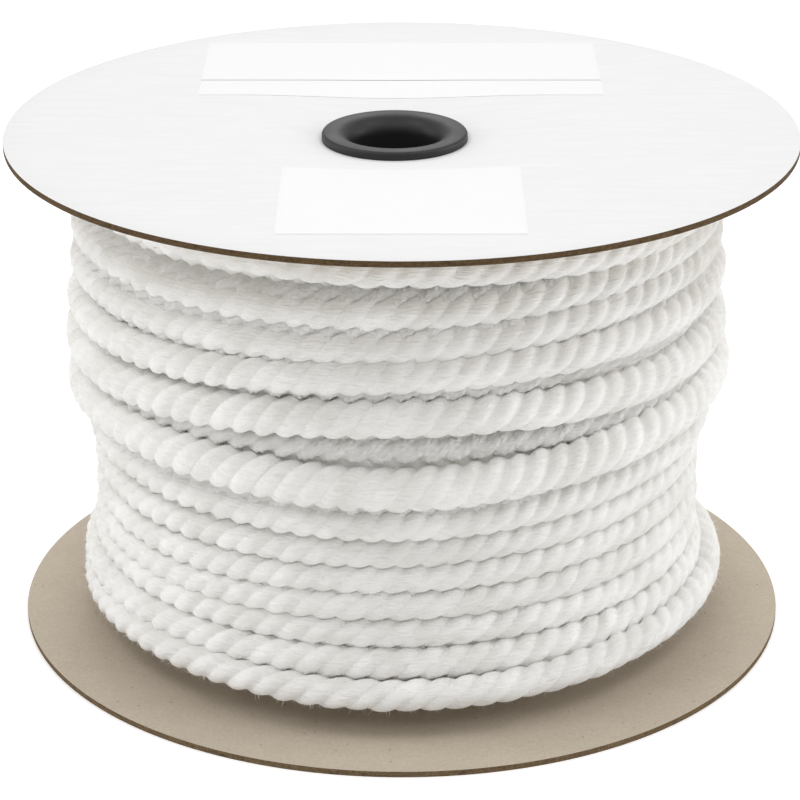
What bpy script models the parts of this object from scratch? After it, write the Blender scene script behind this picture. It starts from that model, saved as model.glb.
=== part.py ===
"""Polyester cord wound on a flat-ended spool.

The spool stands on its lower board. Two chipboard discs are held by a black plastic hub,
and white three-strand cord lies between them in uneven turns. The winding is one solid
whose ridges follow the turns of its outer layer. Two plain paper labels lie on the upper
board.

Units are metres, +Z is up, and the front of the winding faces -Y. The origin is the centre
of the lower board's underside.
"""

import math
from collections import namedtuple

import bmesh
import bpy

MM = 0.001
GAP = 0.3 * MM

# Boards: flat discs, drawn in a little round the hub by the pull of its lips
HEIGHT = 130.5 * MM
BOARD_RADIUS = 100 * MM
BOARD_THICKNESS = 1.6 * MM
BOARD_STEPS = 72
DISH_RADIUS = 50 * MM
DISH_DEPTH = 2.4 * MM

# Hub: a tube with a rolled lip at each end, a little off the boards' centre
HUB_X = -1.8 * MM
HUB_Y = -2.4 * MM
HUB_STEPS = 40
BORE_RADIUS = 11.1 * MM
BARREL_RADIUS = 13.6 * MM
LIP_RADIUS = 18.4 * MM
LIP_HEIGHT = 2.1 * MM
LIP_EDGE = 0.8 * MM
MOUTH_ROUND = 4.4 * MM

# The hole through the boards and the winding, and the rings that their faces share
HOLE_RADIUS = BARREL_RADIUS + GAP
FACE_RINGS = (HOLE_RADIUS, 20 * MM, 30 * MM, 40 * MM, DISH_RADIUS)

# Winding: sections in a turn, the creases between turns, its narrower ends against the
# boards, and where the outer layer starts and stops at the back
WINDING_X = -1.3 * MM
TURN_STEPS = 48
CREASE = 2.4 * MM
GAP_DEPTH = 4.5 * MM
PINCH = 0.15 * MM
END_RADIUS = 72 * MM
CREASE_RADIUS = END_RADIUS + 1 * MM
START_HEIGHT = 6.8 * MM
START_RIDGE = 77 * MM
END_HEIGHT = 124.2 * MM
END_RIDGE = 79 * MM
RIDGE_ANGLES = (-55, 0, 55)

# The turns of the outer layer from the bottom up. Left, front and right are the heights of
# the cord's centre, 60 degrees left of the front, at the front and 60 degrees right of it.
# Ridge is the distance from the winding's axis to the cord's outer side, and half is half
# of the cord's height. All are in millimetres.
Turn = namedtuple("Turn", "left front right ridge half")
TURNS = (
    Turn(13.2, 13.0, 16.3, 86.0, 4.0),
    Turn(21.2, 20.2, 22.6, 80.2, 3.7),
    Turn(27.9, 27.0, 29.0, 79.0, 3.6),
    Turn(34.0, 34.2, 35.6, 79.0, 3.7),
    Turn(41.6, 41.2, 42.4, 78.8, 3.7),
    Turn(49.0, 47.8, 49.2, 79.0, 3.8),
    Turn(56.9, 55.7, 57.2, 80.6, 4.2),
    Turn(68.2, 66.3, 68.6, 84.6, 5.4),
    Turn(78.6, 84.1, 83.6, 84.8, 5.7),
    Turn(89.6, 95.0, 99.2, 84.2, 4.4),
    Turn(99.8, 102.0, 109.0, 82.8, 4.4),
    Turn(109.2, 110.2, 116.4, 82.6, 4.0),
    Turn(122.4, 121.5, 122.4, 83.6, 4.0),
)

# Labels: plain paper sheets on the upper board. X and y are the sheet's centre.
Label = namedtuple("Label", "name x y width depth columns rows")
LABEL_THICKNESS = 0.3 * MM
LABELS = (
    Label("label_back", -0.2 * MM, 52.6 * MM, 106 * MM, 49.8 * MM, 12, 6),
    Label("label_front", -0.2 * MM, -57.2 * MM, 57.6 * MM, 49.6 * MM, 7, 6),
)


def clear_scene():
    """Remove every object that the file opened with."""
    for thing in list(bpy.data.objects):
        bpy.data.objects.remove(thing, do_unlink=True)


def add_collection(name):
    """Add a collection to the scene."""
    collection = bpy.data.collections.new(name)
    bpy.context.scene.collection.children.link(collection)
    return collection


def plain_material(name, colour, roughness):
    """Make a Principled material of one colour."""
    material = bpy.data.materials.new(name)
    material.use_nodes = True
    shader = material.node_tree.nodes["Principled BSDF"]
    shader.inputs["Base Color"].default_value = (*colour, 1.0)
    shader.inputs["Roughness"].default_value = roughness
    shader.inputs["Metallic"].default_value = 0.0
    return material


def add_object(name, mesh, material, collection):
    """Put a mesh in the scene as a named object with its material."""
    mesh.materials.append(material)
    thing = bpy.data.objects.new(name, mesh)
    collection.objects.link(thing)
    return thing


def turned_mesh(name, profile, steps):
    """Turn a closed profile of (radius, height) points round the Z axis."""
    mesh = bpy.data.meshes.new(name)
    points = [(radius, 0.0, height) for radius, height in profile]
    edges = [(i, (i + 1) % len(points)) for i in range(len(points))]
    mesh.from_pydata(points, edges, [])
    blank = bpy.data.objects.new(name + "_profile", mesh)
    bpy.context.scene.collection.objects.link(blank)
    screw = blank.modifiers.new("Screw", "SCREW")
    screw.axis = "Z"
    screw.steps = steps
    screw.render_steps = steps
    screw.use_merge_vertices = True
    screw.merge_threshold = 0.01 * MM
    graph = bpy.context.evaluated_depsgraph_get()
    turned = bpy.data.meshes.new_from_object(blank.evaluated_get(graph))
    turned.name = name
    bpy.data.objects.remove(blank, do_unlink=True)
    bpy.data.meshes.remove(mesh)
    return turned


def smooth(mesh, degrees):
    """Shade a mesh smooth, with its sharp corners kept."""
    mesh.shade_smooth()
    mesh.set_sharp_from_angle(angle=math.radians(degrees))


def dish(radius):
    """How far a board's face is drawn in, at a distance from the hub's axis."""
    reach = max(0.0, DISH_RADIUS - radius) / (DISH_RADIUS - LIP_RADIUS)
    return DISH_DEPTH * reach**2


def ring(radius, height, centre_x, centre_y, steps):
    """Points of a level ring, one for each step, from the back round by the left."""
    points = []
    for step in range(steps):
        angle = 2 * math.pi * step / steps - math.pi
        x = centre_x + radius * math.sin(angle)
        y = centre_y - radius * math.cos(angle)
        points.append((x, y, height))
    return points


def build_board(name, upper, material, collection):
    """One chipboard disc, centred on the axis at its rim and on the hub within its dish."""
    radii = FACE_RINGS + (BOARD_RADIUS,)
    if upper:
        top = [(radius, HEIGHT - dish(radius)) for radius in radii]
    else:
        top = [(radius, BOARD_THICKNESS + dish(radius)) for radius in radii]
    under = [(radius, height - BOARD_THICKNESS) for radius, height in reversed(top)]
    mesh = turned_mesh(name, top + under, BOARD_STEPS)
    for vertex in mesh.vertices:
        radius = math.hypot(vertex.co.x, vertex.co.y)
        share = (BOARD_RADIUS - radius) / (BOARD_RADIUS - DISH_RADIUS)
        share = min(1.0, max(0.0, share))
        vertex.co.x += HUB_X * share
        vertex.co.y += HUB_Y * share
    smooth(mesh, 30)
    return add_object(name, mesh, material, collection)


def lip_profile(lip_top, seat):
    """Upper half of the hub's section, from the bore over the lip to the barrel."""
    profile = []
    for degrees in (0, 22, 45, 68, 90):
        angle = math.radians(degrees)
        radius = BORE_RADIUS + MOUTH_ROUND * (1 - math.cos(angle))
        height = lip_top - MOUTH_ROUND * (1 - math.sin(angle))
        profile.append((radius, height))
    for degrees in (0, 45, 90):
        angle = math.radians(degrees)
        radius = LIP_RADIUS - LIP_EDGE * (1 - math.sin(angle))
        height = lip_top - LIP_EDGE * (1 - math.cos(angle))
        profile.append((radius, height))
    profile.append((LIP_RADIUS, seat))
    profile.append((BARREL_RADIUS, seat))
    return profile


def build_hub(material, collection):
    """The black plastic tube that holds the boards by a rolled lip at each end."""
    lip_top = HEIGHT - dish(LIP_RADIUS) + LIP_HEIGHT
    seat = HEIGHT - dish(LIP_RADIUS) + GAP
    upper = lip_profile(lip_top, seat)
    lower = [(radius, HEIGHT - height) for radius, height in reversed(upper)]
    mesh = turned_mesh("hub", upper + lower, HUB_STEPS)
    smooth(mesh, 40)
    hub = add_object("hub", mesh, material, collection)
    hub.location = (HUB_X, HUB_Y, 0.0)
    return hub


def curve_through(knots):
    """A smooth curve of one value through (place, value) knots, as a function of place."""
    places = [place for place, _ in knots]
    values = [value for _, value in knots]
    slopes = []
    for i in range(len(knots)):
        before = max(i - 1, 0)
        after = min(i + 1, len(knots) - 1)
        slopes.append((values[after] - values[before]) / (places[after] - places[before]))

    def value_at(place):
        place = min(max(place, places[0]), places[-1])
        i = 0
        while i < len(places) - 2 and place > places[i + 1]:
            i += 1
        span = places[i + 1] - places[i]
        t = (place - places[i]) / span
        rise = values[i + 1] - values[i]
        start = slopes[i] * span
        end = slopes[i + 1] * span
        bend = start * (1 - t) + (rise * (3 - 2 * t) - start * (1 - t) - end * (1 - t)) * t
        return values[i] + t * bend

    return value_at


def turn_curves():
    """Height, ridge and half height of the cord, each by the number of turns from the start."""
    heights = [(0.0, START_HEIGHT)]
    ridges = [(0.0, START_RIDGE)]
    halves = []
    for number, turn in enumerate(TURNS):
        heights.append((number + 1 / 3, turn.left * MM))
        heights.append((number + 1 / 2, turn.front * MM))
        heights.append((number + 2 / 3, turn.right * MM))
        ridges.append((number + 1 / 2, turn.ridge * MM))
        halves.append((number + 1 / 2, turn.half * MM))
    heights.append((float(len(TURNS)), END_HEIGHT))
    ridges.append((float(len(TURNS)), END_RIDGE))
    return curve_through(heights), curve_through(ridges), curve_through(halves)


def build_winding(material, collection):
    """The wound cord: a ridged loft that climbs one turn of cord in each round."""
    height_at, ridge_at, half_at = turn_curves()
    last = len(TURNS) * TURN_STEPS
    centres = [height_at(step / TURN_STEPS) for step in range(last + 1)]
    ridges = [ridge_at(step / TURN_STEPS) for step in range(last + 1)]
    halves = [half_at(step / TURN_STEPS) for step in range(last + 1)]

    def crease(step):
        """Lower edge, upper edge and radius of the crease above a step's turn."""
        above = step + TURN_STEPS
        room = centres[above] - centres[step]
        spare = room - halves[step] - halves[above]
        if spare > 2 * PINCH:
            low = centres[step] + halves[step]
            high = centres[above] - halves[above]
        else:
            middle = centres[step] + room * halves[step] / (halves[step] + halves[above])
            low = middle - PINCH
            high = middle + PINCH
        depth = CREASE + min(max(spare, 0.0), GAP_DEPTH)
        radius = max(min(ridges[step], ridges[above]) - depth, CREASE_RADIUS)
        return low, high, radius

    mesh = bmesh.new()

    def point(step, radius, height):
        angle = 2 * math.pi * step / TURN_STEPS - math.pi
        x = WINDING_X + radius * math.sin(angle)
        return mesh.verts.new((x, -radius * math.cos(angle), height))

    def add_ring(radius, height):
        places = ring(radius, height, HUB_X, HUB_Y, TURN_STEPS)
        row = [mesh.verts.new(place) for place in places]
        return row + row[:1]

    def join(lower, upper):
        """Faces between two rows of points, the second above or further out along the side."""
        for i in range(len(lower) - 1):
            mesh.faces.new((lower[i], lower[i + 1], upper[i + 1], upper[i]))

    # The cord's outer side, as one long strip with a row of points for each edge and ridge
    rows = [[] for _ in range(len(RIDGE_ANGLES) + 2)]
    for step in range(last + 1):
        centre, ridge, half = centres[step], ridges[step], halves[step]
        free_radius = max(ridge - half, CREASE_RADIUS)
        if step >= TURN_STEPS:
            _, low, low_radius = crease(step - TURN_STEPS)
        else:
            low, low_radius = centre - half, free_radius
        if step <= last - TURN_STEPS:
            high, _, high_radius = crease(step)
        else:
            high, high_radius = centre + half, free_radius
        rows[0].append(point(step, low_radius, low))
        for row, degrees in zip(rows[1:-1], RIDGE_ANGLES):
            angle = math.radians(degrees)
            end, end_radius = (low, low_radius) if degrees < 0 else (high, high_radius)
            height = centre + (end - centre) * abs(math.sin(angle))
            radius = end_radius + (ridge - end_radius) * math.cos(angle)
            row.append(point(step, radius, height))
        rows[-1].append(point(step, high_radius, high))
    for lower, upper in zip(rows, rows[1:]):
        join(lower, upper)
    join(rows[-1][:last - TURN_STEPS + 1], rows[0][TURN_STEPS:])

    # Under the first turn the winding steps back to its foot
    first = range(TURN_STEPS + 1)
    undercut = [point(step, END_RADIUS, centres[step] - halves[step]) for step in first]
    foot_height = BOARD_THICKNESS + GAP
    foot = [point(step, END_RADIUS, foot_height) for step in range(TURN_STEPS)]
    foot.append(foot[0])
    join(undercut, rows[0][:TURN_STEPS + 1])
    join(foot, undercut)
    start_face = [foot[0], undercut[-1], rows[0][TURN_STEPS], rows[-1][0]]
    start_face += [row[0] for row in reversed(rows[:-1])] + [undercut[0]]
    mesh.faces.new(start_face)

    # Above the last turn it steps back to its shoulder
    final = range(last - TURN_STEPS, last + 1)
    ledge = [point(step, END_RADIUS, centres[step] + halves[step]) for step in final]
    shoulder_height = HEIGHT - BOARD_THICKNESS - GAP
    shoulder = [point(step, END_RADIUS, shoulder_height) for step in range(TURN_STEPS)]
    shoulder.append(shoulder[0])
    join(rows[-1][-TURN_STEPS - 1:], ledge)
    join(ledge, shoulder)
    end_face = [shoulder[0], ledge[0], rows[-1][last - TURN_STEPS]]
    end_face += [row[last] for row in rows] + [ledge[-1]]
    mesh.faces.new(end_face)

    # The ends lie along the boards, and the hub's hole joins them
    inner = []
    for radius in reversed(FACE_RINGS):
        inner.append(add_ring(radius, shoulder_height - dish(radius)))
    for radius in FACE_RINGS:
        inner.append(add_ring(radius, foot_height + dish(radius)))
    for lower, upper in zip([shoulder] + inner, inner + [foot]):
        join(lower, upper)

    bmesh.ops.recalc_face_normals(mesh, faces=mesh.faces)
    result = bpy.data.meshes.new("cord_winding")
    mesh.to_mesh(result)
    mesh.free()
    smooth(result, 60)
    return add_object("cord_winding", result, material, collection)


def build_label(label, material, collection):
    """A paper sheet that follows the upper board's face."""
    mesh = bmesh.new()
    bmesh.ops.create_grid(mesh, x_segments=label.columns, y_segments=label.rows, size=0.5)
    for vertex in mesh.verts:
        x = label.x + vertex.co.x * label.width
        y = label.y + vertex.co.y * label.depth
        radius = math.hypot(x - HUB_X, y - HUB_Y)
        vertex.co = (x, y, HEIGHT + GAP - dish(radius))
    result = bpy.data.meshes.new(label.name)
    mesh.to_mesh(result)
    mesh.free()
    sheet = add_object(label.name, result, material, collection)
    solidify = sheet.modifiers.new("Solidify", "SOLIDIFY")
    solidify.thickness = LABEL_THICKNESS
    solidify.offset = 1.0
    return sheet


def main():
    """Build every piece of the spool."""
    clear_scene()
    collection = add_collection("polyester_cord_spool")
    chipboard = plain_material("chipboard", (0.42, 0.35, 0.28), 0.9)
    white_board = plain_material("white_lined_chipboard", (0.88, 0.88, 0.87), 0.55)
    plastic = plain_material("black_plastic", (0.02, 0.02, 0.02), 0.4)
    cord = plain_material("white_polyester", (0.86, 0.85, 0.81), 0.95)
    paper = plain_material("label_paper", (0.93, 0.93, 0.92), 0.5)
    build_board("flange_bottom", False, chipboard, collection)
    build_board("flange_top", True, white_board, collection)
    build_hub(plastic, collection)
    build_winding(cord, collection)
    for label in LABELS:
        build_label(label, paper, collection)


main()
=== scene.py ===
"""A spool of white polyester cable cord, standing on a bright table."""

import math

import bmesh
import bpy
import numpy as np
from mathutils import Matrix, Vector


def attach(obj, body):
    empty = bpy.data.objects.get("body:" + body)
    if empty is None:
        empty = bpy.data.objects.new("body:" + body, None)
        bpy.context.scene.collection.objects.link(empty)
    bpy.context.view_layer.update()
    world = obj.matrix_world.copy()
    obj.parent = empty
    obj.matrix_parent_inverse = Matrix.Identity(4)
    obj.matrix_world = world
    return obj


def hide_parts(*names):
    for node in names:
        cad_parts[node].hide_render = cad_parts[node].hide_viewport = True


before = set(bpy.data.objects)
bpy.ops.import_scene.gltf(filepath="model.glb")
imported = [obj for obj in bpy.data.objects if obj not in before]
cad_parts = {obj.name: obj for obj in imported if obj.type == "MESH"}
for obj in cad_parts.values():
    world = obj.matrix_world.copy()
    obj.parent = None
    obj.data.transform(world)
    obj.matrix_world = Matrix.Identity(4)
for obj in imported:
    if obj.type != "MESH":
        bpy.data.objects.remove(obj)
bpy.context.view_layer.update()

# Lower board
#
# A die-cut disc of plain grey chipboard, made from pulped waste paper. It is drawn in a little
# round the hub, whose lip clamps it, and the cord lies on it.

MM = 0.001
scene = bpy.context.scene

BOARD_HEIGHT = 130.5 * MM
BOARD_RADIUS = 100 * MM
BOARD_THICKNESS = 1.6 * MM
BOARD_STEPS = 360
EDGE_ROUND = 0.2 * MM
# Rings of the board's faces, in mm: closer together where the board is drawn in
FACE_RINGS = (17, 20, 23, 27, 31, 35, 40, 45, 50, 65, 80, 92)
DISH_RADIUS = 50 * MM
DISH_DEPTH = 2.4 * MM
LIP_RADIUS = 18.4 * MM
HOLE_RADIUS = 13.9 * MM
HUB_CENTRE = (-1.8 * MM, -2.4 * MM)


def linear(colour):
    """Linear RGBA of an sRGB hex colour."""
    parts = [int(colour[i:i + 2], 16) / 255 for i in (0, 2, 4)]
    return [p / 12.92 if p <= 0.04045 else ((p + 0.055) / 1.055) ** 2.4 for p in parts] + [1.0]


def add_node(tree, kind, settings=None, inputs=None):
    """Add a node with its settings, and its inputs as values or as other nodes' outputs."""
    node = tree.nodes.new(kind)
    for name, value in (settings or {}).items():
        setattr(node, name, value)
    for name, value in (inputs or {}).items():
        if isinstance(value, bpy.types.NodeSocket):
            tree.links.new(value, node.inputs[name])
        else:
            node.inputs[name].default_value = value
    return node


def new_material(name):
    """A material with an empty Principled shader, and its tree."""
    material = bpy.data.materials.new(name)
    material.use_nodes = True
    return material, material.node_tree, material.node_tree.nodes["Principled BSDF"]


def add_piece(name, mesh, materials, nodes):
    """Put a finished mesh in the scene as a piece of the spool."""
    for material in materials:
        mesh.materials.append(material)
    piece = bpy.data.objects.new(name, mesh)
    scene.collection.objects.link(piece)
    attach(piece, "root")
    if nodes:
        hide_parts(*nodes)
    return piece


def grid_mesh(name, points, close_rows=False, close_columns=False):
    """Mesh of a (rows, columns, 3) array of points, closed round either way."""
    rows, columns = points.shape[:2]
    index = np.arange(rows * columns).reshape(rows, columns)
    if close_rows:
        index = np.vstack([index, index[:1]])
    if close_columns:
        index = np.hstack([index, index[:, :1]])
    faces = np.stack([index[:-1, :-1], index[:-1, 1:], index[1:, 1:], index[1:, :-1]], -1)
    mesh = bpy.data.meshes.new(name)
    mesh.from_pydata(points.reshape(-1, 3).tolist(), [], faces.reshape(-1, 4).tolist())
    mesh.shade_smooth()
    return mesh


def turned(name, profile, steps, centre=(0.0, 0.0)):
    """Turn a closed profile of (radius, height) points round a vertical axis."""
    profile = np.array(profile)
    angle = np.linspace(0, 2 * math.pi, steps, endpoint=False)[:, None]
    radius = profile[None, :, 0]
    x = centre[0] + radius * np.cos(angle)
    y = centre[1] + radius * np.sin(angle)
    z = np.broadcast_to(profile[None, :, 1], x.shape)
    return grid_mesh(name, np.stack([x, y, z], -1), close_rows=True, close_columns=True)


def dish(radius):
    """How far a board's face is drawn in, at a distance from the hub's axis."""
    reach = np.maximum(0.0, DISH_RADIUS - radius) / (DISH_RADIUS - LIP_RADIUS)
    return DISH_DEPTH * reach**2


def board_mesh(name, upper):
    """A disc with lightly rounded edges, centred on the hub within its dish."""
    corner = EDGE_ROUND * (1 - math.sqrt(0.5))
    radii = [HOLE_RADIUS + EDGE_ROUND] + [ring * MM for ring in FACE_RINGS]
    radii.append(BOARD_RADIUS - EDGE_ROUND)
    if upper:
        face = [(radius, BOARD_HEIGHT - dish(radius)) for radius in radii]
        hole_top = BOARD_HEIGHT - dish(HOLE_RADIUS)
        rim_top = BOARD_HEIGHT
    else:
        face = [(radius, BOARD_THICKNESS + dish(radius)) for radius in radii]
        hole_top = BOARD_THICKNESS + dish(HOLE_RADIUS)
        rim_top = BOARD_THICKNESS
    back = [(radius, height - BOARD_THICKNESS) for radius, height in reversed(face)]
    rim = [
        (BOARD_RADIUS - corner, rim_top - corner),
        (BOARD_RADIUS, rim_top - EDGE_ROUND),
        (BOARD_RADIUS, rim_top - BOARD_THICKNESS / 2),
        (BOARD_RADIUS, rim_top - BOARD_THICKNESS + EDGE_ROUND),
        (BOARD_RADIUS - corner, rim_top - BOARD_THICKNESS + corner),
    ]
    hole = [
        (HOLE_RADIUS, hole_top - BOARD_THICKNESS + EDGE_ROUND),
        (HOLE_RADIUS, hole_top - EDGE_ROUND),
    ]
    mesh = turned(name, face + rim + back + hole, BOARD_STEPS)
    for vertex in mesh.vertices:
        radius = math.hypot(vertex.co.x, vertex.co.y)
        share = (BOARD_RADIUS - radius) / (BOARD_RADIUS - DISH_RADIUS)
        share = min(1.0, max(0.0, share))
        vertex.co.x += HUB_CENTRE[0] * share
        vertex.co.y += HUB_CENTRE[1] * share
    # The cut edges take the second material
    for polygon in mesh.polygons:
        if abs(polygon.normal.z) < 0.5:
            polygon.material_index = 1
    mesh.set_sharp_from_angle(angle=math.radians(30))
    return mesh


def chipboard(name, pale, dark, speck):
    """Unlined chipboard: matt and greige, with a soft mottle, fine pulp grain and stray specks."""
    material, tree, shader = new_material(name)
    place = add_node(tree, "ShaderNodeTexCoord").outputs["Object"]
    mottle = add_node(tree, "ShaderNodeTexNoise", None, {
        "Vector": place, "Scale": 1 / (9 * MM), "Detail": 3.0, "Roughness": 0.6})
    grain = add_node(tree, "ShaderNodeTexNoise", None, {
        "Vector": place, "Scale": 1 / (0.9 * MM), "Detail": 4.0, "Roughness": 0.7})
    blend = add_node(tree, "ShaderNodeMath", {"operation": "MULTIPLY_ADD"}, {
        0: mottle.outputs["Fac"], 1: 0.35, 2: grain.outputs["Fac"]})
    share = add_node(tree, "ShaderNodeMapRange", None, {
        "Value": blend.outputs[0], "From Min": 0.42, "From Max": 0.95})
    base = add_node(tree, "ShaderNodeMix", {"data_type": "RGBA"}, {
        0: share.outputs[0], 6: linear(dark), 7: linear(pale)})
    flecks = add_node(tree, "ShaderNodeTexVoronoi", None, {
        "Vector": place, "Scale": 1 / (2.6 * MM), "Randomness": 1.0})
    few = add_node(tree, "ShaderNodeSeparateColor", None, {"Color": flecks.outputs["Color"]})
    chosen = add_node(tree, "ShaderNodeMath", {"operation": "GREATER_THAN"}, {
        0: few.outputs[0], 1: 0.82})
    near = add_node(tree, "ShaderNodeMapRange", None, {
        "Value": flecks.outputs["Distance"], "From Min": 0.16, "From Max": 0.06})
    fleck = add_node(tree, "ShaderNodeMath", {"operation": "MULTIPLY"}, {
        0: chosen.outputs[0], 1: near.outputs[0]})
    weak = add_node(tree, "ShaderNodeMath", {"operation": "MULTIPLY"}, {
        0: fleck.outputs[0], 1: 0.55})
    colour = add_node(tree, "ShaderNodeMix", {"data_type": "RGBA"}, {
        0: weak.outputs[0], 6: base.outputs[2], 7: linear(speck)})
    bump = add_node(tree, "ShaderNodeBump", None, {
        "Height": grain.outputs["Fac"], "Strength": 0.35, "Distance": 0.06 * MM})
    tree.links.new(colour.outputs[2], shader.inputs["Base Color"])
    tree.links.new(bump.outputs[0], shader.inputs["Normal"])
    shader.inputs["Roughness"].default_value = 0.92
    shader.inputs["Specular IOR Level"].default_value = 0.3
    return material


def cut_chipboard(name, pale, dark):
    """Chipboard's die-cut edge: darker, with its plies as fine level streaks."""
    material, tree, shader = new_material(name)
    place = add_node(tree, "ShaderNodeTexCoord").outputs["Object"]
    # Plies are about 0.3 mm thick, and run for some millimetres along the edge
    stretched = add_node(tree, "ShaderNodeMapping", None, {
        "Vector": place, "Scale": (1 / (4 * MM), 1 / (4 * MM), 1 / (0.3 * MM))})
    plies = add_node(tree, "ShaderNodeTexNoise", None, {
        "Vector": stretched.outputs[0], "Scale": 1.0, "Detail": 3.0, "Roughness": 0.65})
    torn = add_node(tree, "ShaderNodeTexNoise", None, {
        "Vector": place, "Scale": 1 / (0.8 * MM), "Detail": 3.0, "Roughness": 0.7})
    blend = add_node(tree, "ShaderNodeMath", {"operation": "ADD"}, {
        0: plies.outputs["Fac"], 1: torn.outputs["Fac"]})
    share = add_node(tree, "ShaderNodeMapRange", None, {
        "Value": blend.outputs[0], "From Min": 0.7, "From Max": 1.35})
    colour = add_node(tree, "ShaderNodeMix", {"data_type": "RGBA"}, {
        0: share.outputs[0], 6: linear(dark), 7: linear(pale)})
    bump = add_node(tree, "ShaderNodeBump", None, {
        "Height": blend.outputs[0], "Strength": 0.6, "Distance": 0.1 * MM})
    tree.links.new(colour.outputs[2], shader.inputs["Base Color"])
    tree.links.new(bump.outputs[0], shader.inputs["Normal"])
    shader.inputs["Roughness"].default_value = 0.95
    shader.inputs["Specular IOR Level"].default_value = 0.2
    return material


grey_chipboard = chipboard("grey_chipboard", "c1b6a6", "b0a493", "6e6351")
lower_edge = cut_chipboard("cut_chipboard_lower", "7d6a50", "4a3c2a")
add_piece("lower_board", board_mesh("lower_board", upper=False),
          (grey_chipboard, lower_edge), ["flange_bottom"])

# Hub
#
# A moulded black plastic tube through both boards. Its ends are rolled over into broad lips
# that clamp the boards, and its mouths are rounded for a rod or peg.

HUB_STEPS = 128
BORE_RADIUS = 11.1 * MM
BARREL_RADIUS = 13.6 * MM
LIP_HEIGHT = 2.1 * MM
LIP_EDGE = 0.9 * MM
MOUTH_ROUND = 4.4 * MM


def hub_mesh():
    """The tube's closed section, turned: the upper half and its mirror image."""
    seat = BOARD_HEIGHT - dish(LIP_RADIUS)
    lip_top = seat + LIP_HEIGHT
    upper = []
    for degrees in range(0, 91, 9):
        angle = math.radians(degrees)
        radius = BORE_RADIUS + MOUTH_ROUND * (1 - math.cos(angle))
        height = lip_top - MOUTH_ROUND * (1 - math.sin(angle))
        upper.append((radius, height))
    for degrees in range(15, 91, 15):
        angle = math.radians(degrees)
        radius = LIP_RADIUS - LIP_EDGE * (1 - math.sin(angle))
        height = lip_top - LIP_EDGE * (1 - math.cos(angle))
        upper.append((radius, height))
    upper += [(LIP_RADIUS, seat), (BARREL_RADIUS, seat)]
    lower = [(radius, BOARD_HEIGHT - height) for radius, height in reversed(upper)]
    mesh = turned("hub_tube", upper + lower, HUB_STEPS, HUB_CENTRE)
    mesh.set_sharp_from_angle(angle=math.radians(50))
    return mesh


def black_polypropylene():
    """Moulded black polypropylene: a satin black that greys where it faces the light."""
    material, tree, shader = new_material("black_polypropylene")
    place = add_node(tree, "ShaderNodeTexCoord").outputs["Object"]
    cloud = add_node(tree, "ShaderNodeTexNoise", None, {
        "Vector": place, "Scale": 1 / (7 * MM), "Detail": 3.0})
    colour = add_node(tree, "ShaderNodeMix", {"data_type": "RGBA"}, {
        0: cloud.outputs["Fac"], 6: linear("131313"), 7: linear("1c1c1c")})
    rough = add_node(tree, "ShaderNodeMapRange", None, {
        "Value": cloud.outputs["Fac"], "To Min": 0.42, "To Max": 0.58})
    # The mould's fine grain, 0.2 mm across
    grain = add_node(tree, "ShaderNodeTexNoise", None, {
        "Vector": place, "Scale": 1 / (0.2 * MM), "Detail": 2.0})
    bump = add_node(tree, "ShaderNodeBump", None, {
        "Height": grain.outputs["Fac"], "Strength": 0.15, "Distance": 0.02 * MM})
    tree.links.new(colour.outputs[2], shader.inputs["Base Color"])
    tree.links.new(rough.outputs[0], shader.inputs["Roughness"])
    tree.links.new(bump.outputs[0], shader.inputs["Normal"])
    shader.inputs["IOR"].default_value = 1.49
    return material


add_piece("hub_tube", hub_mesh(), (black_polypropylene(),), ["hub"])

# Cord
#
# Soft cable cord: three fat strands of spun polyester roving, laid together with a Z twist.
# It is wound on the spool in uneven layers, tight below and loose above, and the outer
# layer climbs the spool once in thirteen turns.

TURN_LIST = (
    # One row a turn, bottom first, in mm: height of the cord's centre 60 degrees round to the
    # left, in front and 60 degrees round to the right, outer radius, half height, section
    # radius and lay of the strands
    (13.4, 12.4, 14.5, 86.0, 4.0, 4.0, 18.4),
    (18.5, 18.9, 19.0, 81.6, 4.5, 4.1, 18.4),
    (25.4, 26.4, 27.0, 79.4, 4.2, 3.8, 18.2),
    (31.4, 33.7, 34.8, 79.2, 4.1, 3.8, 18.5),
    (38.4, 40.9, 42.5, 79.0, 4.1, 3.8, 17.3),
    (46.4, 47.9, 50.3, 79.2, 4.2, 3.9, 17.1),
    (56.0, 55.8, 59.2, 80.8, 4.6, 4.2, 16.4),
    (68.4, 66.5, 70.8, 86.0, 5.5, 5.2, 16.8),
    (79.4, 84.4, 82.8, 85.0, 5.0, 5.3, 17.4),
    (89.9, 95.1, 96.6, 84.4, 4.6, 4.5, 17.4),
    (99.9, 101.9, 106.0, 83.2, 4.4, 4.4, 16.9),
    (109.4, 110.3, 113.4, 83.0, 4.4, 4.2, 17.0),
    (122.4, 121.3, 119.4, 84.0, 4.4, 4.1, 19.0),
)
TURNS_A_PIECE = (3, 3, 3, 4)
# The cord's ends: heights and outer radii in mm, and the share of a turn that they go in over
START_HEIGHT, END_HEIGHT = 6.8, 124.2
TUCKED_START, SHOWN_START = 66.0, 77.0
TUCKED_END, SHOWN_END = 68.0, 79.0
TUCK = 0.07
WINDING_X = -1.3 * MM
WOUND_RADIUS = 80 * MM
RING_SPACING = 0.8 * MM
STRANDS = 3
STRAND_POINTS = 12
# Depth of the valleys between strands as a share of the cord's radius, and how narrow they are
GROOVE = 0.18
GROOVE_SHARPNESS = 1.7
# Unevenness of the twist, in radians, and of each strand's size, with the spacing of each
TWIST_SPACING, TWIST_DRIFT = 30 * MM, 0.08
PLUMP_SPACING, PLUMP_DRIFT = 11 * MM, 0.022
# The strands are of even size this near to an end, so that the pieces join
JOINT_REACH = 12 * MM
LAY_RADIUS = 4 * MM
rng = np.random.default_rng(72)


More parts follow.
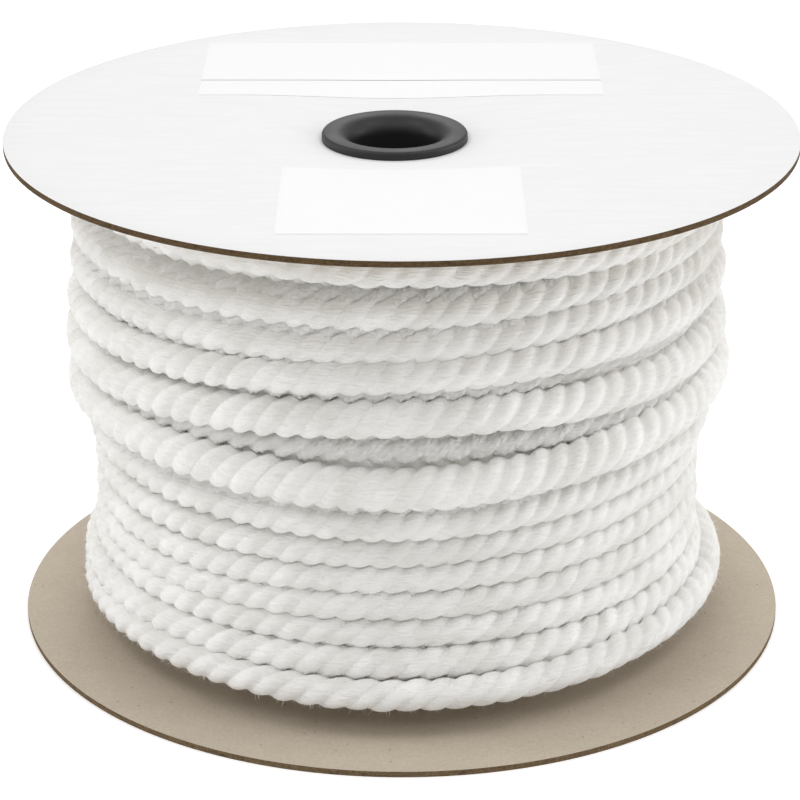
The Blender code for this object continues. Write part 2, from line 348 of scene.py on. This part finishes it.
def curve_through(knots, places):
    """Values at places of a smooth curve through (place, value) knots."""
    at = np.array([knot[0] for knot in knots], float)
    values = np.array([knot[1] for knot in knots], float)
    before = np.maximum(np.arange(len(at)) - 1, 0)
    after = np.minimum(np.arange(len(at)) + 1, len(at) - 1)
    slopes = (values[after] - values[before]) / (at[after] - at[before])
    places = np.clip(places, at[0], at[-1])
    i = np.clip(np.searchsorted(at, places, side="left") - 1, 0, len(at) - 2)
    span = at[i + 1] - at[i]
    t = (places - at[i]) / span
    rise = values[i + 1] - values[i]
    start, end = slopes[i] * span, slopes[i + 1] * span
    bend = start * (1 - t) + (rise * (3 - 2 * t) - start * (1 - t) - end * (1 - t)) * t
    return values[i] + t * bend


def knots_of(column, ends=()):
    """Knots of one column of the list of turns, at the front of each turn."""
    return list(ends) + [(k + 0.5, turn[column]) for k, turn in enumerate(TURN_LIST)]


def wander(places, spacing, amount):
    """Smooth seeded drift: random values at even spacing, joined by a smooth curve."""
    count = int((places[-1] - places[0]) / spacing) + 3
    knots = [(places[0] + i * spacing, v) for i, v in enumerate(rng.normal(0, amount, count))]
    return curve_through(knots, places)


def cord_path(turn, height, centre_radius):
    """Points of the cord's axis, the directions outward and upward across it, and its length."""
    angle = 2 * np.pi * turn - np.pi
    outward = np.stack([np.sin(angle), -np.cos(angle), np.zeros_like(angle)], -1)
    points = outward * centre_radius[:, None]
    points[:, 0] += WINDING_X
    points[:, 2] = height
    along = np.gradient(points, axis=0)
    along /= np.linalg.norm(along, axis=1)[:, None]
    outward = outward - (outward * along).sum(1)[:, None] * along
    outward /= np.linalg.norm(outward, axis=1)[:, None]
    upward = np.cross(outward, along)
    steps = np.linalg.norm(np.diff(points, axis=0), axis=1)
    return points, outward, upward, np.concatenate([[0.0], np.cumsum(steps)])


def strand_section(count, groove):
    """Angle and radius, for a cord of radius 1, of the points across its pressed strands."""
    # The points are closer together towards the valleys
    even = np.linspace(-1, 1, count, endpoint=False)
    swing = (even + np.sin(even * math.pi / 2)) / 2
    middles = 2 * math.pi * np.arange(STRANDS) / STRANDS
    angles = (middles[:, None] + swing[None, :] * math.pi / STRANDS).ravel()
    valley = ((1 - np.cos(math.pi * swing)) / 2) ** GROOVE_SHARPNESS
    return angles, np.tile(1 - groove * valley, STRANDS)


def laid_cord(name, turn, height, centre_radius, radius, half, lay, twisted=0.0,
              count=STRAND_POINTS, groove=GROOVE):
    """Surface of three-strand cord along a path, with UV maps along the lay and for baking.

    Its strands start at the angle twisted, and the angle that they end at is returned too.
    """
    points, outward, upward, length = cord_path(turn, height, centre_radius)
    steps = np.diff(length, prepend=0.0)
    phase = np.cumsum(2 * np.pi * steps / lay)
    phase += wander(length, TWIST_SPACING, TWIST_DRIFT)
    phase += twisted - phase[0]
    angles, radii = strand_section(count, groove)
    joined = np.clip(np.minimum(length, length[-1] - length) / JOINT_REACH, 0, 1)
    plump = np.stack([1 + joined * wander(length, PLUMP_SPACING, PLUMP_DRIFT)
                      for _ in range(STRANDS)], -1)
    plump = np.repeat(plump, count, axis=1)
    around = phase[:, None] + angles[None, :]
    out = radii * plump * np.cos(around) * radius[:, None]
    up = radii * plump * np.sin(around) * half[:, None]
    surface = points[:, None] + out[..., None] * outward[:, None] + up[..., None] * upward[:, None]
    mesh = grid_mesh(name, surface, close_columns=True)
    rings, across = surface.shape[:2]
    # Lay: length along the cord, and distance round it from its outer side
    swept = phase[:, None] + np.append(angles, angles[0] + 2 * np.pi)[None, :]
    lay_u = np.broadcast_to(length[:, None], swept.shape)
    lay_v = swept * LAY_RADIUS
    lay_map = np.stack([lay_u, lay_v], -1)
    # Bake: one strip for each turn of the piece, with a narrow gap between strips
    row = np.floor(turn[:-1] - turn[0] + 1e-6)
    rows = int(row.max()) + 1
    start = (turn[:-1] - turn[0]) - row
    end = (turn[1:] - turn[0]) - row
    share = 0.02 + 0.96 * np.arange(across + 1) / across
    bake = np.empty((rings - 1, across, 4, 2))
    low, high = (row[:, None] + share[None, :-1]) / rows, (row[:, None] + share[None, 1:]) / rows
    for corner, (u, v) in enumerate(((start, low), (start, high), (end, high), (end, low))):
        bake[:, :, corner, 0] = np.minimum(u, 1.0)[:, None]
        bake[:, :, corner, 1] = v
    corners = [lay_map[:-1, :-1], lay_map[:-1, 1:], lay_map[1:, 1:], lay_map[1:, :-1]]
    for label, values in (("lay", np.stack(corners, 2)), ("OFBake", bake)):
        layer = mesh.uv_layers.new(name=label)
        layer.data.foreach_set("uv", np.ascontiguousarray(values, np.float32).ravel())
    return mesh, phase[-1]


def cap_ends(mesh, across):
    """Close both ends of a cord's surface, each with a flat face that leaves its sides smooth."""
    last = len(mesh.vertices) - across
    work = bmesh.new()
    work.from_mesh(mesh)
    work.verts.ensure_lookup_table()
    first_ring = [work.verts[i] for i in reversed(range(across))]
    last_ring = [work.verts[last + i] for i in range(across)]
    for ring in (first_ring, last_ring):
        cap = work.faces.new(ring)
        cap.smooth = False
        for edge in cap.edges:
            edge.smooth = False
    bmesh.ops.recalc_face_normals(work, faces=work.faces)
    work.to_mesh(mesh)
    work.free()


def spun_polyester():
    """Spun polyester: white and matt, its fine fibres running along the cord, soft in sheen."""
    material, tree, shader = new_material("spun_polyester")
    lay = add_node(tree, "ShaderNodeUVMap", {"uv_map": "lay"}).outputs[0]
    # Real fibres are 0.02 mm thick: they are drawn as bundles 0.5 mm wide and 5 mm long
    along = add_node(tree, "ShaderNodeMapping", None, {
        "Vector": lay, "Scale": (1 / (5 * MM), 1 / (0.5 * MM), 1.0)})
    bundles = add_node(tree, "ShaderNodeTexNoise", {"noise_dimensions": "2D"}, {
        "Vector": along.outputs[0], "Scale": 1.0, "Detail": 4.0, "Roughness": 0.65})
    patches = add_node(tree, "ShaderNodeTexNoise", {"noise_dimensions": "2D"}, {
        "Vector": lay, "Scale": 1 / (14 * MM), "Detail": 2.0})
    tone = add_node(tree, "ShaderNodeMath", {"operation": "MULTIPLY_ADD"}, {
        0: bundles.outputs["Fac"], 1: 0.7, 2: patches.outputs["Fac"]})
    share = add_node(tree, "ShaderNodeMapRange", None, {
        "Value": tone.outputs[0], "From Min": 0.55, "From Max": 1.1})
    colour = add_node(tree, "ShaderNodeMix", {"data_type": "RGBA"}, {
        0: share.outputs[0], 6: linear("ebe9e4"), 7: linear("fdfcfa")})
    bump = add_node(tree, "ShaderNodeBump", None, {
        "Height": bundles.outputs["Fac"], "Strength": 1.0, "Distance": 0.5 * MM})
    tree.links.new(colour.outputs[2], shader.inputs["Base Color"])
    tree.links.new(bump.outputs[0], shader.inputs["Normal"])
    shader.inputs["Roughness"].default_value = 1.0
    shader.inputs["Specular IOR Level"].default_value = 0.1
    shader.inputs["Sheen Weight"].default_value = 0.4
    shader.inputs["Sheen Roughness"].default_value = 0.5
    return material


polyester = spun_polyester()
turns = len(TURN_LIST)
# Both ends of the cord go in under the turns beside them
outer_radius = knots_of(3, [(0.0, TUCKED_START), (TUCK, SHOWN_START)]) + [
    (turns - TUCK, SHOWN_END), (float(turns), TUCKED_END)]
height_knots = [(0.0, START_HEIGHT)]
for k, turn in enumerate(TURN_LIST):
    height_knots += [(k + 1 / 3, turn[0]), (k + 1 / 2, turn[1]), (k + 2 / 3, turn[2])]
height_knots.append((float(turns), END_HEIGHT))


def outer_layer(first, last, twisted):
    """One piece of the outer layer, from one count of turns to another, twist carried on."""
    rings = int((last - first) * 2 * math.pi * WOUND_RADIUS / RING_SPACING)
    turn = np.linspace(first, last, rings + 1)
    height = curve_through(height_knots, turn) * MM
    radius = curve_through(knots_of(5), turn) * MM
    half = curve_through(knots_of(4), turn) * MM
    lay = curve_through(knots_of(6), turn) * MM
    centre_radius = curve_through(outer_radius, turn) * MM - radius
    name = f"cord_turns_{int(first) + 1}_to_{int(last)}"
    mesh, twisted = laid_cord(name, turn, height, centre_radius, radius, half, lay, twisted)
    cap_ends(mesh, STRANDS * STRAND_POINTS)
    add_piece(name, mesh, (polyester,), ["cord_winding"] if first == 0 else [])
    return mesh, twisted


reached = 0
twist_reached = 0.0
outer_meshes = []
for count in TURNS_A_PIECE:
    mesh, twist_reached = outer_layer(float(reached), float(reached + count), twist_reached)
    outer_meshes.append(mesh)
    reached += count

# Stray fibres
#
# Loose ends of the cord's fibres that stand off its outer side and soften its edges. Real ones
# are 0.02 mm thick and too many to draw: these are fewer and thicker, each a closed sliver.

FIBRE_COUNT = 36000
FIBRE_LENGTH = (0.9 * MM, 2.4 * MM)
FIBRE_THICKNESS = 0.1 * MM
FIBRE_ROOT = 0.1 * MM
# In degrees: how far a fibre stands up from the cord, and how far it strays from its length
FIBRE_LIFT = (10, 65)
FIBRE_STRAY = 35


def stray_fibres(count):
    """Closed three-sided slivers on the outer side of the cord, leaning along its length."""
    roots, normals, tangents = [], [], []
    for mesh in outer_meshes:
        across = STRANDS * STRAND_POINTS
        points = np.empty(len(mesh.vertices) * 3)
        mesh.vertices.foreach_get("co", points)
        points = points.reshape(-1, across, 3)
        tangent = np.gradient(points, axis=0)
        around = np.roll(points, -1, axis=1) - np.roll(points, 1, axis=1)
        normal = np.cross(around, tangent)
        normal /= np.linalg.norm(normal, axis=2)[..., None]
        tangent /= np.linalg.norm(tangent, axis=2)[..., None]
        centre = points.mean(axis=1, keepdims=True)
        normal *= np.sign(((points - centre) * normal).sum(2))[..., None]
        axis = points * (1.0, 1.0, 0.0)
        axis /= np.linalg.norm(axis, axis=2)[..., None]
        # The inner side doesn't show
        outer = (normal * axis).sum(2) > -0.1
        roots.append(points[outer])
        normals.append(normal[outer])
        tangents.append(tangent[outer])
    roots, normals, tangents = (
        np.concatenate(parts) for parts in (roots, normals, tangents))
    chosen = rng.choice(len(roots), count, replace=False)
    root, normal, tangent = roots[chosen], normals[chosen], tangents[chosen]
    side = np.cross(normal, tangent)
    lift = np.radians(rng.uniform(*FIBRE_LIFT, count))[:, None]
    turn = np.radians(rng.normal(0, FIBRE_STRAY, count))[:, None]
    forward = rng.choice([-1.0, 1.0], count)[:, None]
    level = forward * np.cos(turn) * tangent + np.sin(turn) * side
    reach = rng.uniform(*FIBRE_LENGTH, count)[:, None]
    tip = root + reach * (np.cos(lift) * level + np.sin(lift) * normal)
    corners = [root - FIBRE_ROOT * normal + FIBRE_THICKNESS / 2 * (
        math.cos(angle) * side + math.sin(angle) * tangent)
        for angle in np.radians((90, 210, 330))]
    points = np.stack(corners + [tip], 1).reshape(-1, 3)
    faces = np.array([(0, 1, 2), (0, 3, 1), (1, 3, 2), (2, 3, 0)])
    faces = (np.arange(count)[:, None, None] * 4 + faces[None]).reshape(-1, 3)
    mesh = bpy.data.meshes.new("cord_stray_fibres")
    mesh.from_pydata(points.tolist(), [], faces.tolist())
    return mesh


def polyester_fibre():
    """Loose polyester fibres: white and matt, a little uneven in tone."""
    material, tree, shader = new_material("polyester_fibre")
    place = add_node(tree, "ShaderNodeTexCoord").outputs["Object"]
    cloud = add_node(tree, "ShaderNodeTexNoise", None, {
        "Vector": place, "Scale": 1 / (2 * MM), "Detail": 1.0})
    colour = add_node(tree, "ShaderNodeMix", {"data_type": "RGBA"}, {
        0: cloud.outputs["Fac"], 6: linear("f3f1ec"), 7: linear("fdfcf9")})
    tree.links.new(colour.outputs[2], shader.inputs["Base Color"])
    shader.inputs["Roughness"].default_value = 0.8
    shader.inputs["Specular IOR Level"].default_value = 0.3
    return material


add_piece("cord_stray_fibres", stray_fibres(FIBRE_COUNT), (polyester_fibre(),), [])

# Under-layer
#
# The layer below, of the same cord, drawn coarser. It shows in the gaps between the loose turns
# above, and closes the winding behind the tight turns. The layers within it are one body.

UNDER_PITCH = 7.6 * MM
UNDER_RADIUS = 4.1 * MM
UNDER_HALF = 3.7 * MM
UNDER_LAY = 17.5 * MM
UNDER_POINTS = 6
UNDER_GROOVE = 0.38
UNDER_LAP_RADIUS = 70 * MM
UNDER_SPACING = 1.6 * MM
UNDER_FOOT = 11 * MM
UNDER_TOP = 124.5 * MM
# Outer radii of the under-layer at these heights: further out behind the loose turns
RIDGE_HEIGHTS = (0.0, 52 * MM, 66 * MM, 130 * MM)
RIDGE_RADII = (77.2 * MM, 77.0 * MM, 81.8 * MM, 81.5 * MM)
CORE_BACK = 4.5 * MM
CORE_RIDGE = 1.2 * MM
CORE_STEP = 1.2 * MM
CORE_TOP = 128 * MM
CORE_STEPS = 120
CLEARANCE = 0.05 * MM
SLOT_HEIGHT = 6.5 * MM


def under_ridge(height):
    """Outer radius of the under-layer at a height."""
    return np.interp(height, RIDGE_HEIGHTS, RIDGE_RADII)


under_count = (UNDER_TOP - UNDER_FOOT) / UNDER_PITCH
under_rings = int(under_count * 2 * math.pi * UNDER_LAP_RADIUS / UNDER_SPACING)
under_turn = np.linspace(0, under_count, under_rings)
under_height = UNDER_FOOT + UNDER_PITCH * under_turn
steady = np.ones_like(under_turn)
under_mesh, _ = laid_cord(
    "cord_under_layer", under_turn, under_height, under_ridge(under_height) - UNDER_RADIUS,
    UNDER_RADIUS * steady, UNDER_HALF * steady, UNDER_LAY * steady,
    count=UNDER_POINTS, groove=UNDER_GROOVE)
cap_ends(under_mesh, STRANDS * UNDER_POINTS)
add_piece("cord_under_layer", under_mesh, (polyester,), [])

# The deeper layers as one wound body, with a low ridge for each turn. They rest on the board
# near the hub only, which leaves a dark slot under the lowest turns.
core_profile = [(radius, BOARD_THICKNESS + dish(radius) + CLEARANCE)
                for radius in (HOLE_RADIUS, 20 * MM, 30 * MM, 38 * MM)]
core_profile += [(42 * MM, SLOT_HEIGHT), (62 * MM, SLOT_HEIGHT), (68 * MM, SLOT_HEIGHT + 0.5 * MM)]
for height in np.arange(SLOT_HEIGHT + 2 * MM, CORE_TOP, CORE_STEP):
    wave = abs(math.sin(math.pi * height / UNDER_PITCH))
    core_profile.append((under_ridge(height) - CORE_BACK + CORE_RIDGE * wave, height))
core_profile += [(radius, BOARD_HEIGHT - BOARD_THICKNESS - dish(radius) - CLEARANCE)
                 for radius in (69 * MM, 50 * MM, 35 * MM, 20 * MM, HOLE_RADIUS)]
core_mesh = turned("cord_core_layers", core_profile, CORE_STEPS, (WINDING_X, 0.0))
add_piece("cord_core_layers", core_mesh, (polyester,), [])

# Upper board
#
# The same disc, lined with smooth white paper on its upper face. Its cut edge shows the dark
# chipboard under the thin white liner.


def white_liner():
    """White paper liner: bright and nearly smooth, with faint streaks from its making."""
    material, tree, shader = new_material("white_paper_liner")
    place = add_node(tree, "ShaderNodeTexCoord").outputs["Object"]
    stretched = add_node(tree, "ShaderNodeMapping", None, {
        "Vector": place, "Scale": (1 / (16 * MM), 1 / (2.5 * MM), 1 / (2.5 * MM))})
    streaks = add_node(tree, "ShaderNodeTexNoise", None, {
        "Vector": stretched.outputs[0], "Scale": 1.0, "Detail": 4.0, "Roughness": 0.6})
    share = add_node(tree, "ShaderNodeMapRange", None, {
        "Value": streaks.outputs["Fac"], "From Min": 0.3, "From Max": 0.7})
    colour = add_node(tree, "ShaderNodeMix", {"data_type": "RGBA"}, {
        0: share.outputs[0], 6: linear("e1e1e1"), 7: linear("e5e5e5")})
    grain = add_node(tree, "ShaderNodeTexNoise", None, {
        "Vector": place, "Scale": 1 / (0.5 * MM), "Detail": 3.0})
    bump = add_node(tree, "ShaderNodeBump", None, {
        "Height": grain.outputs["Fac"], "Strength": 0.1, "Distance": 0.03 * MM})
    tree.links.new(colour.outputs[2], shader.inputs["Base Color"])
    tree.links.new(bump.outputs[0], shader.inputs["Normal"])
    shader.inputs["Roughness"].default_value = 0.6
    shader.inputs["Specular IOR Level"].default_value = 0.3
    return material


upper_edge = cut_chipboard("cut_chipboard_upper", "6a563c", "3d2f1e")
upper_mesh = board_mesh("upper_board", upper=True)
for polygon in upper_mesh.polygons:
    if polygon.normal.z < -0.5:
        polygon.material_index = 2
add_piece("upper_board", upper_mesh, (white_liner(), upper_edge, grey_chipboard),
          ["flange_top"])

# Labels
#
# Two sheets of smooth white label paper, glued flat on the upper board, behind and in front
# of the hub. They are left bare but for a printed rule on the one behind.

LABEL_THICKNESS = 0.08 * MM
LABEL_LIFT = 0.01 * MM
LABEL_GRID = (61, 31)
RULE_HALF_WIDTH = 0.22 * MM
LABEL_LIST = (
    # name, node, centre x and y, width, depth and y of the printed rule, in mm
    ("label_behind_hub", "label_back", -0.2, 52.6, 106.0, 49.8, 41.2),
    ("label_before_hub", "label_front", -0.2, -57.2, 57.6, 49.6, None),
)


def label_paper(name, rule_y):
    """Gloss label paper: whiter and smoother than the board's liner."""
    material, tree, shader = new_material(name)
    place = add_node(tree, "ShaderNodeTexCoord").outputs["Object"]
    cloud = add_node(tree, "ShaderNodeTexNoise", None, {
        "Vector": place, "Scale": 1 / (6 * MM), "Detail": 2.0})
    colour = add_node(tree, "ShaderNodeMix", {"data_type": "RGBA"}, {
        0: cloud.outputs["Fac"], 6: linear("e6e6e6"), 7: linear("e8e8e8")}).outputs[2]
    if rule_y is not None:
        axes = add_node(tree, "ShaderNodeSeparateXYZ", None, {"Vector": place})
        on_rule = add_node(tree, "ShaderNodeMath", {"operation": "COMPARE"}, {
            0: axes.outputs["Y"], 1: rule_y, 2: RULE_HALF_WIDTH})
        colour = add_node(tree, "ShaderNodeMix", {"data_type": "RGBA"}, {
            0: on_rule.outputs[0], 6: colour, 7: linear("4a4a4a")}).outputs[2]
    tree.links.new(colour, shader.inputs["Base Color"])
    shader.inputs["Roughness"].default_value = 0.5
    shader.inputs["Specular IOR Level"].default_value = 0.4
    return material


for name, node, x, y, width, depth, rule in LABEL_LIST:
    grid_x = (x + width * np.linspace(-0.5, 0.5, LABEL_GRID[0])) * MM
    grid_y = (y + depth * np.linspace(-0.5, 0.5, LABEL_GRID[1])) * MM
    xs, ys = np.meshgrid(grid_x, grid_y)
    drop = dish(np.hypot(xs - HUB_CENTRE[0], ys - HUB_CENTRE[1]))
    sheet = grid_mesh(name, np.stack([xs, ys, BOARD_HEIGHT + LABEL_LIFT - drop], -1))
    work = bmesh.new()
    work.from_mesh(sheet)
    bmesh.ops.solidify(work, geom=work.faces[:], thickness=-LABEL_THICKNESS)
    bmesh.ops.recalc_face_normals(work, faces=work.faces[:])
    work.to_mesh(sheet)
    work.free()
    sheet.set_sharp_from_angle(angle=math.radians(30))
    paper = label_paper(f"label_paper_{node[6:]}", None if rule is None else rule * MM)
    add_piece(name, sheet, (paper,), [node])

# Studio
#
# The spool stands on a table of white acrylic, lit from below beyond the spool, in a white tent
# that is open in front, with soft lights overhead, in front, behind and on both sides.

TABLE_REACH = 3.0
TABLE_GLOW = 0.27
# The glow starts under the lower board's edge, between these distances from the spool's axis
GLOW_START, GLOW_FULL = 90 * MM, 99 * MM
TENT_LIGHT = 0.7
OPENING_LIGHT = 0.1
# The tent's opening, as level shares of a direction towards the front: its middle and its edge
OPENING_MIDDLE, OPENING_EDGE = -0.95, -0.6
LIGHT_LIST = (
    # name, place in m, size in m and power in W
    ("overhead_left_softbox", (-0.7, -0.3, 1.2), 0.6, 2.9),
    ("overhead_right_softbox", (0.7, -0.3, 1.2), 0.6, 2.9),
    ("left_softbox", (-1.4, 0.1, 0.35), 0.7, 3.7),
    ("right_softbox", (1.4, 0.1, 0.35), 0.7, 4.9),
    ("front_softbox", (0.0, -1.0, 1.0), 0.35, 1.8),
    ("back_softbox", (0.0, 1.1, 0.95), 0.8, 3.4),
)
LIGHT_TARGET = Vector((0.0, 0.0, 60 * MM))
CAMERA_LENS = 131.52
CAMERA_SENSOR = 36.0
CAMERA_PLACE = (-0.47 * MM, -707.7 * MM, 349.9 * MM)
CAMERA_TILT = 67.43


def opal_acrylic():
    """White acrylic sheet: matt, with a faint cloud, glowing round the spool but not under it."""
    material, tree, shader = new_material("opal_acrylic")
    place = add_node(tree, "ShaderNodeTexCoord").outputs["Object"]
    cloud = add_node(tree, "ShaderNodeTexNoise", None, {
        "Vector": place, "Scale": 4.0, "Detail": 1.0})
    colour = add_node(tree, "ShaderNodeMix", {"data_type": "RGBA"}, {
        0: cloud.outputs["Fac"], 6: linear("f4f4f4"), 7: linear("f6f6f6")})
    reach = add_node(tree, "ShaderNodeVectorMath", {"operation": "LENGTH"}, {0: place})
    glow = add_node(tree, "ShaderNodeMapRange", {"interpolation_type": "SMOOTHSTEP"}, {
        "Value": reach.outputs["Value"], "From Min": GLOW_START, "From Max": GLOW_FULL,
        "To Max": TABLE_GLOW})
    tree.links.new(colour.outputs[2], shader.inputs["Base Color"])
    tree.links.new(glow.outputs[0], shader.inputs["Emission Strength"])
    shader.inputs["Emission Color"].default_value = (1.0, 1.0, 1.0, 1.0)
    shader.inputs["Roughness"].default_value = 0.8
    return material


table = bpy.data.meshes.new("table")
table.from_pydata([(-TABLE_REACH, -TABLE_REACH, 0), (TABLE_REACH, -TABLE_REACH, 0),
                   (TABLE_REACH, TABLE_REACH, 0), (-TABLE_REACH, TABLE_REACH, 0)],
                  [], [(0, 1, 2, 3)])
table.materials.append(opal_acrylic())
table_top = bpy.data.objects.new("table", table)
scene.collection.objects.link(table_top)

tent = bpy.data.worlds.new("white_tent")
tent.use_nodes = True
tent_light = tent.node_tree.nodes["Background"]
tent_light.inputs["Color"].default_value = (1.0, 1.0, 1.0, 1.0)
direction = add_node(tent.node_tree, "ShaderNodeTexCoord").outputs["Generated"]
axes = add_node(tent.node_tree, "ShaderNodeSeparateXYZ", None, {"Vector": direction})
strength = add_node(tent.node_tree, "ShaderNodeMapRange", None, {
    "Value": axes.outputs["Y"], "From Min": OPENING_MIDDLE, "From Max": OPENING_EDGE,
    "To Min": OPENING_LIGHT, "To Max": TENT_LIGHT})
tent.node_tree.links.new(strength.outputs[0], tent_light.inputs["Strength"])
scene.world = tent
# Light goes on bouncing in the folds of a white cord
scene.cycles.diffuse_bounces = 10
scene.view_settings.view_transform = "Standard"
scene.view_settings.look = "None"

for name, place, size, power in LIGHT_LIST:
    lamp = bpy.data.lights.new(name, "AREA")
    lamp.shape = "DISK"
    lamp.size = size
    lamp.energy = power
    light = bpy.data.objects.new(name, lamp)
    light.location = place
    aim = LIGHT_TARGET - Vector(place)
    light.rotation_euler = aim.to_track_quat("-Z", "Y").to_euler()
    scene.collection.objects.link(light)

lens = bpy.data.cameras.new("camera")
lens.lens = CAMERA_LENS
lens.sensor_width = CAMERA_SENSOR
camera = bpy.data.objects.new("camera", lens)
camera.location = CAMERA_PLACE
camera.rotation_euler = (math.radians(CAMERA_TILT), 0.0, 0.0)
scene.collection.objects.link(camera)
scene.camera = camera
